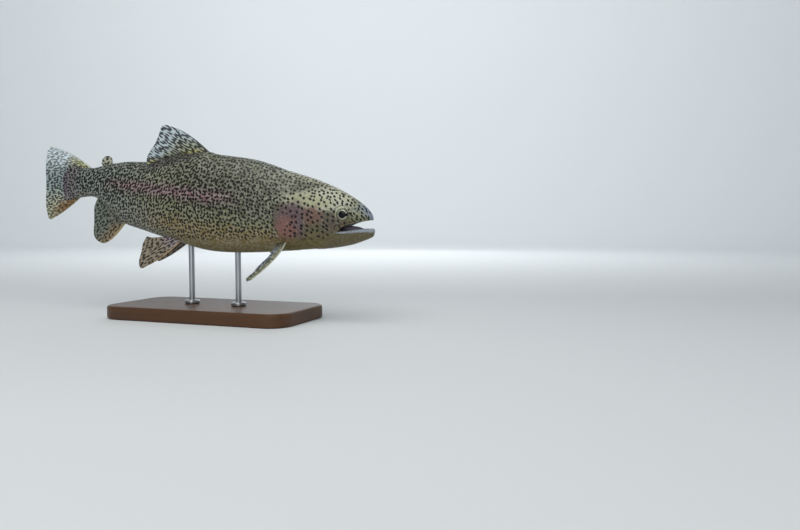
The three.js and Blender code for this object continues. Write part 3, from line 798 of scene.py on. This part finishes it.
class Finish:
    """A material under construction: its nodes, and the few mixtures that the paints share."""

    def __init__(self, name):
        self.material = bpy.data.materials.new(name)
        self.material.use_nodes = True
        self.tree = self.material.node_tree
        self.shader = self.tree.nodes["Principled BSDF"]

    def node(self, kind, settings=None, *values, out=0, **named):
        made = self.tree.nodes.new(kind)
        for key, value in (settings or {}).items():
            setattr(made, key, value)
        for key, value in [*enumerate(values), *named.items()]:
            if value is not None:
                self.feed(made.inputs[key.replace("_", " ") if isinstance(key, str) else key], value)
        return Shade(self, made.outputs[out])

    def feed(self, socket, value):
        if isinstance(value, Shade):
            self.tree.links.new(value.socket, socket)
        else:
            socket.default_value = colour(value) if isinstance(value, str) else value

    def made(self, **sockets):
        for name, value in sockets.items():
            self.feed(self.shader.inputs[name.replace("_", " ")], value)
        return self.material

    def glossy(self, coat=0.1, coat_roughness=0.22, **sockets):
        """The finished material, under a thin wet film."""
        return self.made(Coat_Weight=coat, Coat_Roughness=coat_roughness, IOR=1.3, **sockets)

    def attribute(self, name, out="Vector"):
        return self.node("ShaderNodeAttribute", {"attribute_name": name}, out=out)

    def parts(self, vector):
        split = self.node("ShaderNodeSeparateXYZ", None, vector).socket.node
        return [Shade(self, socket) for socket in split.outputs]

    def vector(self, x=0, y=0):
        return self.node("ShaderNodeCombineXYZ", None, x, y, 0)

    def math(self, operation, *values):
        return self.node("ShaderNodeMath", {"operation": operation}, *values)

    def larger(self, a, b):
        return self.math("MAXIMUM", a, b)

    def stretched(self, vector, by):
        return self.node("ShaderNodeVectorMath", {"operation": "MULTIPLY"}, vector, by)

    def fade(self, value, low, high):
        """0 at low, 1 at high, soft at both ends; low may be the larger."""
        return self.node("ShaderNodeMapRange", {"interpolation_type": "SMOOTHSTEP"}, value, low, high, 0, 1)

    def bump_at(self, value, middle, width):
        """1 where value is middle, fading to 0 at width to either side."""
        return self.fade(value, middle - width, middle) * self.fade(value, middle + width, middle)

    def spot(self, x, y, at, size):
        """1 in the middle of an oval patch, 0 at its edge."""
        dx, dy = (x - at[0]) / size[0], (y - at[1]) / size[1]
        return self.fade(dx * dx + dy * dy, 1, 0)

    def mix(self, factor, a, b, blend="MIX"):
        settings = {"data_type": "RGBA", "blend_type": blend, "clamp_factor": True}
        return self.node("ShaderNodeMix", settings, factor, *[None] * 5, a, b, out=2)

    def layers(self, ground, *paints):
        """Lays paints over a ground in turn, each given as its amount and its colour."""
        for amount, paint in paints:
            ground = self.mix(amount, ground, paint)
        return ground

    def noise(self, vector, scale, detail=2, roughness=0.5, out=0):
        sizes = {"Scale": scale, "Detail": detail, "Roughness": roughness}
        return self.node("ShaderNodeTexNoise", None, vector, out=out, **sizes)

    def cells(self, vector, scale, scatter, dimensions="2D"):
        """Distance to the nearest of scattered points, in steps of 1 / scale."""
        settings = {"voronoi_dimensions": dimensions}
        return self.node("ShaderNodeTexVoronoi", settings, vector, Scale=scale, Randomness=scatter)

    def worms(self, vector, wormy, more):
        """More than 0 on the marks: round dots where wormy is 0, short broken worms where it is 1."""
        sizes = {"Scale": MARK_SCALE, "Frequency": 2, "Anisotropy": 0}
        lines = self.node("ShaderNodeTexGabor", {"gabor_type": "2D"}, vector, **sizes)
        dots = 0.345 + 0.07 * wormy + more - self.cells(vector, MARK_SCALE * 2.15, 0.7)
        return (lines - 0.51 + more * 0.3) * wormy * 0.9 + dots * (1 - 0.2 * wormy)

    def bump(self, height, strength, distance=0.001):
        return self.node("ShaderNodeBump", None, Strength=strength, Distance=distance, Height=height, out="Normal")


NAPE = "838470"
# Painted highlight along the ridge of the nape, where light from above falls.
NAPE_RIDGE_HIGHLIGHT = "a0a69f"
BACK_OLIVE = "777862"
BACK_REAR = "7a8682"
# Painted shade: the dorsal fin's shadow on the back, over skin a little darker there, and the shade in the groove
# over each eye.
PAINTED_RIDGE_SHADOW = "30282c"
UPPER_FLANK = "6e6f54"
SHOULDER = "525341"
STRIPE = "86606a"
UNDER_FLANK = "777652"
LOW_FLANK = "857040"
UNDERSIDE = "7d7044"
UNDER_REAR = "77776a"
CROWN = "bdbda6"
TEMPLE = "abab8a"
CHEEK = "645c43"
CHEEK_GREY = "5a5147"
CHEEK_ROSE = "76544b"
COVER_ROSE = "645055"
COVER_RED = "865a50"
COVER_EDGE = "a3a18c"
SNOUT = "7d7f62"
# The snout tip's own bluish-pale skin, with a painted highlight along its top.
SNOUT_TIP_AND_HIGHLIGHT = "8b97a8"
EYE_ARC = "b6bc9e"
LIP_PALE = "9fa8b0"
JAW_BROWN = "675d42"
THROAT_TAN = "70663f"
MARK = "0b0c08"
MOUTH_PINK = "75686e"
LIP_LINE_RED = "4f2c22"
TAIL_ROOT = "6c5f68"
SENSE_LINE = "b9b9a4"
GRAIN_DARK = "8f8a70"
GRAIN_PALE = "c9c8b6"
# Pale tone of each scale: partly random, partly a painted sheen on its rear rim.
SCALE_TINT_AND_SHEEN = "d9d9cc"
RAY_PALE = "d8d6c4"


def body_paint(f):
    """The fish's ground colour, with painted shade and highlights in it, and its dark marks, the same on skin and
    scales.

    s and h are the station and the height in millimetres, and share runs from 1 on the back to -1 on the
    belly. Each fade names the two of these values between which its paint comes in.
    """
    place, wrap = f.attribute("place"), f.attribute("wrap")
    s, _, h = f.parts(place)
    share = f.parts(wrap)[2]
    wobble = f.noise(place, 0.045) - 0.5
    blotch = f.noise(place, 0.14, 3) - 0.5
    level = share + wobble * 0.25

    # Painted shadow that the dorsal fin casts on the back just below it, over skin a little darker there.
    dorsal_fin_shadow = f.fade(s + blotch * 12, 208, 240) * f.fade(s, 312, 286)
    dorsal_fin_shadow *= f.fade(share + (s - 250) * 0.004 + blotch * 0.15, 0.68, 0.84)
    body = f.layers(
        BACK_OLIVE,
        (f.fade(level, 0.75, 0.28), UPPER_FLANK),
        (f.fade(s, 150, 100) * f.fade(level, 0.3, 0.8), NAPE),
        # Painted highlight on the top of the back behind the head.
        (f.fade(s, 200, 120) * f.fade(level, 0.82, 0.98), NAPE_RIDGE_HIGHLIGHT),
        (f.fade(level, 0.1, -0.25), UNDER_FLANK),
        (f.fade(level, -0.25, -0.6), LOW_FLANK),
        (f.fade(level, -0.6, -0.92), UNDERSIDE),
        (f.fade(s, 240, 330) * f.fade(level, -0.15, -0.5), UNDER_REAR),
        (f.fade(s, 250, 390) * f.fade(level, -0.9, -0.2) * 0.9, BACK_REAR),
        (dorsal_fin_shadow * 0.92, PAINTED_RIDGE_SHADOW),
        (f.fade(s + blotch * 14, 408, 430) * 0.85, TAIL_ROOT),
    )
    face = f.layers(
        CHEEK,
        (f.fade(h - s * 0.06 + wobble * 8, 3, 11), CROWN),
        (f.fade(h + wobble * 6, -10, -30), THROAT_TAN),
        (f.spot(s + blotch * 8, h, (43, 0), (17, 17)) * 0.8, CHEEK_GREY),
        (f.fade(s, 30, 14) * f.fade(h, -6, 2) * 0.8, SNOUT),
        # The bluish-pale snout tip, on its upper side only, with a painted highlight along the top contour.
        (f.fade(s + blotch * 5, 22, 4) * f.fade(share, 0.35, 0.95), SNOUT_TIP_AND_HIGHLIGHT),
        (f.fade(s + h * 0.9, 30, 16) * f.fade(h, -5, -8), JAW_BROWN),
    )
    shoulder = f.fade(s + f.larger(h * 3 - 54, 0) + blotch * 20, 84, 128)
    shoulder *= f.fade(s, 275, 185) * f.fade(level, -0.35, 0) * f.fade(level, 1.05, 0.8)
    stripe = f.bump_at(h + wobble * 8, 10.5, 14) * f.fade(s, 132, 200) * f.fade(s, 400, 320)
    line = f.bump_at(h + s * 0.055 + blotch * 3, 22.3, 0.9) * f.fade(blotch, -0.02, 0.06)
    line *= f.fade(s, 100, 106) * f.fade(s, 190, 172)
    cover = f.fade(s + blotch * 14, 62, 76) * f.spot(s + blotch * 8, h + blotch * 12, (84, -5), (30, 26))
    ground = f.layers(
        body,
        (f.fade(s + blotch * 20, 120, 82), face),
        (shoulder * 0.9, SHOULDER),
        (stripe * 0.9, STRIPE),
        (line * 0.8, SENSE_LINE),
        (f.spot(s, h + blotch * 8, (70, 18), (36, 10)) * 1.1, TEMPLE),
        (cover * 1.15, COVER_ROSE),
        (f.spot(s + blotch * 22, h - blotch * 18, (91.5, -15), (16, 19)) * 0.85, COVER_RED),
        (f.spot(s + blotch * 16, h + blotch * 14, (62, 3), (15, 14)) * 0.85, CHEEK_ROSE),
    )
    grain = f.noise(place, 0.9, 4, 0.65)
    ground = f.mix(f.fade(grain, 0.55, 0.34) * 0.45, ground, GRAIN_DARK, "MULTIPLY")
    ground = f.mix(f.fade(grain, 0.52, 0.72) * 0.4, ground, GRAIN_PALE, "SCREEN")

    stir = f.noise(place, 0.45, out="Color")
    wrap = f.node("ShaderNodeVectorMath", {"operation": "MULTIPLY_ADD"}, stir, (2.2, 2.2, 0), wrap)
    wormy = f.fade(s - h * 0.5, 115, 220) * f.fade(share + wobble * 0.3, -0.65, -0.25)
    marks = f.worms(wrap, wormy, f.fade(s, 280, 360) * f.fade(s, 430, 400) * 0.05)
    cheek_dots = (0.265 + blotch * 0.08) - f.cells(wrap, 0.168, 0.55)
    cheek_dots -= 0.3 * f.fade(s + h * 0.3, 84, 94) * f.fade(h, 6, -6)
    crown_dots = (0.32 + blotch * 0.06) - f.cells(wrap, 0.225, 0.56)
    small = f.larger(f.fade(h - s * 0.2, 9, 15), f.fade(s - h * 0.3, 26, 20))
    head_dots = cheek_dots * (1 - small) + crown_dots * small
    head = f.larger(f.fade(s - h * 0.3, 96, 90), f.fade(gill_cover_ring(s, h), 1.06, 1))
    marks = f.fade(marks * (1 - head) + head_dots * head, -0.04, 0.035)
    marks *= 1 - f.fade(s, 46, 38) * f.fade(h, -7, -10)
    marks *= f.fade(s, 0.5, 4) * f.fade(h + s * 0.13 + wobble * 10, -20, -12)
    return ground, marks, (s, h, place)


def skin_finish():
    f = Finish("trout skin")
    ground, marks, (s, h, place) = body_paint(f)
    inside, away, jaw = f.parts(f.attribute("lip"))
    blade, cheek = (f.attribute(name, out="Fac") for name in ("off_blade", "off_cheek_edge"))
    fine = f.cells(place, 0.5, 1, "3D")
    mottle = f.noise(place, 0.4, 4, 0.6)

    eye_off, eye_up = s - EYE["station"], h - EYE["height"]
    from_eye = (eye_off * eye_off + eye_up * eye_up) ** 0.5
    cheek_rim = f.fade(cheek + mottle * 2.2, 2, 0.8) * f.fade(h, -20, -12) * f.fade(h, 6, -2)
    arch = (s - 51) * 0.16
    line = f.bump_at(h + arch * arch + mottle * 2, 12.6, 1) * f.fade(s, 41, 48) * f.fade(s, 61, 55)
    over_blade = f.bump_at(blade + mottle * 0.8, 1, 1) * f.fade(h + s * 0.42, 6.2, 8.2) * f.fade(s, 12, 20)
    lips = jaw * f.fade(away + mottle * 2.4 + s * 0.06, 6.2, 3.6)
    nose = ((s - 18.6) * (s - 18.6) + (h - 15.2) * (h - 15.2)) ** 0.5
    ground = f.layers(
        ground,
        (f.bump_at(from_eye, 7.3, 1) * f.fade(eye_off + eye_up * 0.9, -1, 6) * 0.65, EYE_ARC),
        # Painted shade in the groove over each eye.
        (f.bump_at(from_eye, 9.9, 1.2) * f.fade(eye_up, 1, 5) * 0.6, PAINTED_RIDGE_SHADOW),
        (cheek_rim * 0.6, COVER_EDGE),
        (line * 0.9, SENSE_LINE),
        (over_blade * 0.95, LIP_LINE_RED),
        (lips, LIP_PALE),
        (f.bump_at(nose + mottle, 3.2, 1) * 0.45, LIP_PALE),
    )
    marks = f.larger(marks * (1 - lips), lips * f.fade(fine - s * 0.004, 0.28, 0.16) * 0.75)
    marks = f.larger(marks, f.spot(s, h, (22.4, 9.6), (2.4, 1.5)) * 2)
    marks = f.larger(marks * f.fade(nose, 2.2, 3.2), f.fade(nose, 1.2, 0.7) * 0.8)
    marks *= f.fade(from_eye, 6.8, 7.6)
    painted = f.layers(ground, (marks, MARK), (f.fade(inside, 0.004, 0.06), MOUTH_PINK))
    pores = f.noise(place, 1.1, 3, 0.55)
    return f.glossy(Base_Color=painted, Roughness=0.36 + 0.12 * mottle, Normal=f.bump(pores, 0.5, 0.0008))


def scale_finish():
    f = Finish("trout scales")
    ground, marks, _ = body_paint(f)
    tint, rim = f.attribute("tint", out="Fac"), f.attribute("rim", out="Fac")
    # Each scale paler or darker at random, and paler towards its raised rear rim, where its marks fade a little
    # too: a painted sheen.
    painted = f.layers(ground, ((tint - 0.5) * 0.35 + rim * 0.22, SCALE_TINT_AND_SHEEN), (marks * (1 - rim * 0.1), MARK))
    return f.glossy(Base_Color=painted, Roughness=0.3 + 0.16 * tint, Metallic=0.12)


def fin_finish(name, ground, lead, span, across, along, washes=(), lead_width=0.09, more=0.0, lean=None, faint=()):
    """Pale skin with rows of dark dashes along the rays, across and along millimetres apart; a paler front edge.

    The dashes fan out with the rays, or all lean the same way, by lean degrees above straight back. They are
    palest at the second of the two u and v values of faint.

    washes are soft layers of colour: each reaches its full strength at the second of its two u and v values.
    """
    f = Finish(name)
    u, v, length = f.parts(f.attribute("fan"))
    place = f.attribute("place")
    wobble = f.noise(place, 0.12) - 0.5
    fine = f.noise(place, 0.5, 3) - 0.5
    paint = ground
    for wash, across_fin, up_fin in washes:
        amount = f.fade(u + wobble * 0.15, *across_fin) * f.fade(v + wobble * 0.2, *up_fin)
        paint = f.mix(amount, paint, wash)
    across, along = MARK_PITCH / across, MARK_PITCH / along
    where = f.vector(u * (span * across), length * along)
    if lean is not None:
        s, _, h = f.parts(place)
        tip, keep = math.sin(math.radians(lean)), math.cos(math.radians(lean))
        where = f.vector((s * tip - h * keep) * across, (s * keep + h * tip) * along)
    dashes = f.worms(where, 1, more)
    paint = f.mix(fine * 0.5 + 0.1, paint, RAY_PALE, "SOFT_LIGHT")
    ink = INK_STRENGTH - 0.2 * f.fade(u, *faint[0]) * f.fade(v, *faint[1]) if faint else INK_STRENGTH
    front = f.fade(u + fine * 0.03, lead_width, lead_width * 0.5)
    paint = f.layers(paint, (f.fade(dashes, -0.04, 0.04) * ink, MARK), (front * 0.9, lead))
    ribs = f.math("SINE", u * 260)
    return f.glossy(0.1, 0.25, Base_Color=paint, Roughness=0.42 + 0.1 * wobble, Normal=f.bump(ribs, 0.12, 0.0003))


def eye_finish():
    f = Finish("glass eye")
    x, y, _ = f.parts(f.attribute("gaze"))
    reach = (x * x + y * y) ** 0.5
    around = f.math("ARCTAN2", y, x)
    streaks = f.noise(f.vector(around * 3, reach * 0.3), 1.8, 4, 0.7)
    bright = 0.45 + 0.5 * streaks + 0.3 * f.fade(y - x * 0.4, 1, -4)
    blots = f.fade(f.noise(f.vector(around * 2.6), 1.7, 1), 0.44, 0.54) * f.bump_at(reach, 5.9, 1)
    tip_x, tip_y = (x - 3.6) / 2.6, (y - 0.1) / 1.9
    pupil = f.larger(f.fade(reach, 4.25, 4), f.fade(tip_x * tip_x + tip_y * tip_y, 1.08, 0.9))
    painted = f.layers(
        "5a5d4c",
        (streaks, "94967e"),
        (f.bump_at(reach, 4.9, 0.9) * bright, "b9bba6"),
        (blots * f.fade(y - x * 0.3, -2.5, 0.5), "14150f"),
        (f.fade(reach, 6.3, 6.8) * 0.8, "2b2c24"),
        (pupil, "03040d"),
    )
    metal = f.bump_at(reach, 4.9, 1.2) * 0.2
    return f.glossy(0.35, 0.04, Base_Color=painted, Roughness=0.3, Metallic=metal, Specular_IOR_Level=0.12)


def tongue_finish():
    f = Finish("tongue")
    grain = f.noise(f.attribute("place"), 1.2, 3)
    return f.glossy(Base_Color=f.mix(grain, "625b64", "958e97"), Roughness=0.4, Normal=f.bump(grain, 0.4))


def wood_finish():
    f = Finish("dark oiled wood")
    where = f.node("ShaderNodeTexCoord", out="Object")
    grain = f.noise(f.stretched(where, (9, 130, 130)), 1, 5, 0.6)
    figure = f.noise(f.stretched(where, (3, 22, 22)), 1)
    paint = f.layers("2a1a10", (grain, "5a3a22"), (figure * 0.5, "6d4a2c"))
    return f.glossy(0.25, 0.2, Base_Color=paint, Roughness=0.42 + 0.15 * grain, Normal=f.bump(grain, 0.15, 0.0005))


def steel_finish():
    f = Finish("brushed steel")
    where = f.node("ShaderNodeTexCoord", out="Object")
    brush = f.noise(f.stretched(where, (900, 900, 40)), 1)
    return f.made(Base_Color=f.mix(brush, "8c8f92", "c3c6c9"), Metallic=1, Roughness=0.24 + 0.16 * brush)


# ---- Build ----

make_skin(skin_finish())
make_scales(scale_finish())

ALL = (-1, 0)  # a wash that reaches over the whole fin, across or along
dorsal_skin = fin_finish("dorsal fin skin", "a5a996", "5c6164", 66, 2.7, 8, (
    ("b9c5c9", ALL, (0.25, 0.6)),
    ("b3ae7c", (0.02, 0.2), (0.22, 0.08)),
    ("b0ab7c", (0.8, 0.94), ALL),
), lead_width=0.04, more=0.03, lean=27)
tail_skin = fin_finish("tail fin skin", "93a09f", "c3cbc4", 78, 2.1, 6, (
    ("e2edf3", (0.42, 0.12), (0.15, 0.5)),
    ("bdbfa6", (0.5, 0.75), (0.15, 0.45)),
    ("c9c99e", (0.3, 0.06), (0.5, 0.2)),
    ("6a5d66", (0.1, 0.25), (0.3, 0.12)),
    ("a07c54", (0.66, 0.86), (1.1, 0.4)),
    ("b9ad84", (0.93, 0.99), ALL),
), lead_width=0.03, more=0.02, faint=((0.5, 0.2), (0.1, 0.5)))
anal_skin = fin_finish("anal fin skin", "70766d", "a8966f", 50, 2.9, 5.8, (
    ("8c7a60", (0.5, 0.15), ALL),
    ("77786c", ALL, (0.3, 0.1)),
    ("c9cdc8", (0.3, 0.1), (0.9, 0.98)),
), more=-0.02, lean=-46)
pelvic_skin = fin_finish("pelvic fin skin", "8c8070", "b0956a", 36, 2.9, 6.2, (
    ("968a8c", ALL, (0.35, 0.1)),
    ("c9c4b0", (0.3, 0.1), (0.92, 0.99)),
), more=-0.02, lean=-38)
pectoral_skin = fin_finish("pectoral fin skin", "a5a78e", "b4b7a2", 26, 3, 3.8, (
    ("8b94a5", (0.35, 0.6), ALL),
    ("7a7468", ALL, (0.25, 0.05)),
), more=0.06)
adipose_skin = fin_finish("adipose fin skin", "b1b09c", "b2b8ae", 16, 4.4, 4.4)

make_fin("dorsal_fin", DORSAL_FIN, dorsal_skin)
make_fin("adipose_fin", ADIPOSE_FIN, adipose_skin)
make_fin("anal_fin", ANAL_FIN, anal_skin)
make_fin("tail_fin", TAIL_FIN, tail_skin)
make_fin("pelvic_fin_right", PELVIC_FIN_SPREAD, pelvic_skin, RIGHT)
make_fin("pelvic_fin_left", PELVIC_FIN_FOLDED, pelvic_skin, LEFT)
make_fin("pectoral_fin_right", PECTORAL_FIN_DOWN, pectoral_skin, RIGHT)
make_fin("pectoral_fin_left", PECTORAL_FIN_OUT, pectoral_skin, LEFT)

eye_glass = eye_finish()
make_eye("eye_right", RIGHT, eye_glass)
make_eye("eye_left", LEFT, eye_glass)
make_tongue(tongue_finish())

steel = steel_finish()
for name, finish in (("stand_base", wood_finish()), ("stand_rod_front", steel), ("stand_rod_rear", steel)):
    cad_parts[name].data.materials.clear()
    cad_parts[name].data.materials.append(finish)

# ---- Floor, light and camera ----

FLOOR_RADIUS = 2.6
SWEEP_RADIUS = 0.9
SWEEP_STEPS = 12
WALL_HEIGHT = 1.3


def make_floor():
    """A pale round floor whose rim curves up into a backdrop."""
    bm = bmesh.new()
    bmesh.ops.create_circle(bm, cap_ends=True, segments=128, radius=FLOOR_RADIUS)
    rim = [edge for edge in bm.edges if edge.is_boundary]
    for step in range(1, SWEEP_STEPS + 2):
        turn = math.pi / 2 * min(step, SWEEP_STEPS) / SWEEP_STEPS
        reach = FLOOR_RADIUS + SWEEP_RADIUS * math.sin(turn)
        rise = SWEEP_RADIUS * (1 - math.cos(turn)) + (WALL_HEIGHT if step > SWEEP_STEPS else 0)
        made = bmesh.ops.extrude_edge_only(bm, edges=rim)["geom"]
        rim = [part for part in made if isinstance(part, bmesh.types.BMEdge) and part.is_boundary]
        for vert in {vert for edge in rim for vert in edge.verts}:
            out = vert.co.xy.normalized() * reach
            vert.co = (out.x, out.y, rise)
    bmesh.ops.recalc_face_normals(bm, faces=bm.faces)
    if sum(face.normal.z * face.calc_area() for face in bm.faces) < 0:
        bmesh.ops.reverse_faces(bm, faces=bm.faces)
    paper = Finish("pale paper").made(Base_Color="dde0e1", Roughness=0.8)
    add_object(mesh_from(bm, "studio_floor"), paper)


def add_light(name, at, towards, size, power, tint):
    light = bpy.data.lights.new(name, "AREA")
    light.shape, light.size, light.energy, light.color = "DISK", size, power, tint
    lamp = put(name, light)
    lamp.location = at
    lamp.rotation_euler = (Vector(towards) - Vector(at)).to_track_quat("-Z", "Y").to_euler()


CAMERA_AT = (0.5026, -0.7250, 0.1193)
CAMERA_TURN = math.radians(19.86)
CAMERA_TILT = math.radians(3.68)

make_floor()
add_light("overhead_softbox", (0.1, -0.6, 1.3), (0, 0, 0.13), 1.3, 10.5, (1.0, 0.99, 0.96))
add_light("front_softbox", (0.6, -1.7, 0.6), (0, 0, 0.12), 1.4, 8.0, (0.96, 0.98, 1.0))
add_light("rear_softbox", (-0.4, 1.7, 0.8), (0, 0, 0.12), 1.4, 3.0, (0.97, 0.99, 1.0))
add_light("backdrop_softbox", (-0.4, 1.0, 1.9), (-1.0, 3.3, 0.9), 1.6, 42.0, (0.95, 0.98, 1.0))

world = bpy.data.worlds.new("studio")
bpy.context.scene.world = world
world.use_nodes = True
sky = world.node_tree.nodes["Background"].inputs
sky["Color"].default_value = (0.80, 0.86, 0.92, 1)
sky["Strength"].default_value = 0.4
bpy.context.scene.view_settings.view_transform = "Standard"

lens = bpy.data.cameras.new("camera")
lens.lens, lens.sensor_width = 31.5, 36.0
camera = put("camera", lens)
camera.location = CAMERA_AT
camera.rotation_euler = (math.pi / 2 - CAMERA_TILT, 0, CAMERA_TURN)
bpy.context.scene.camera = camera
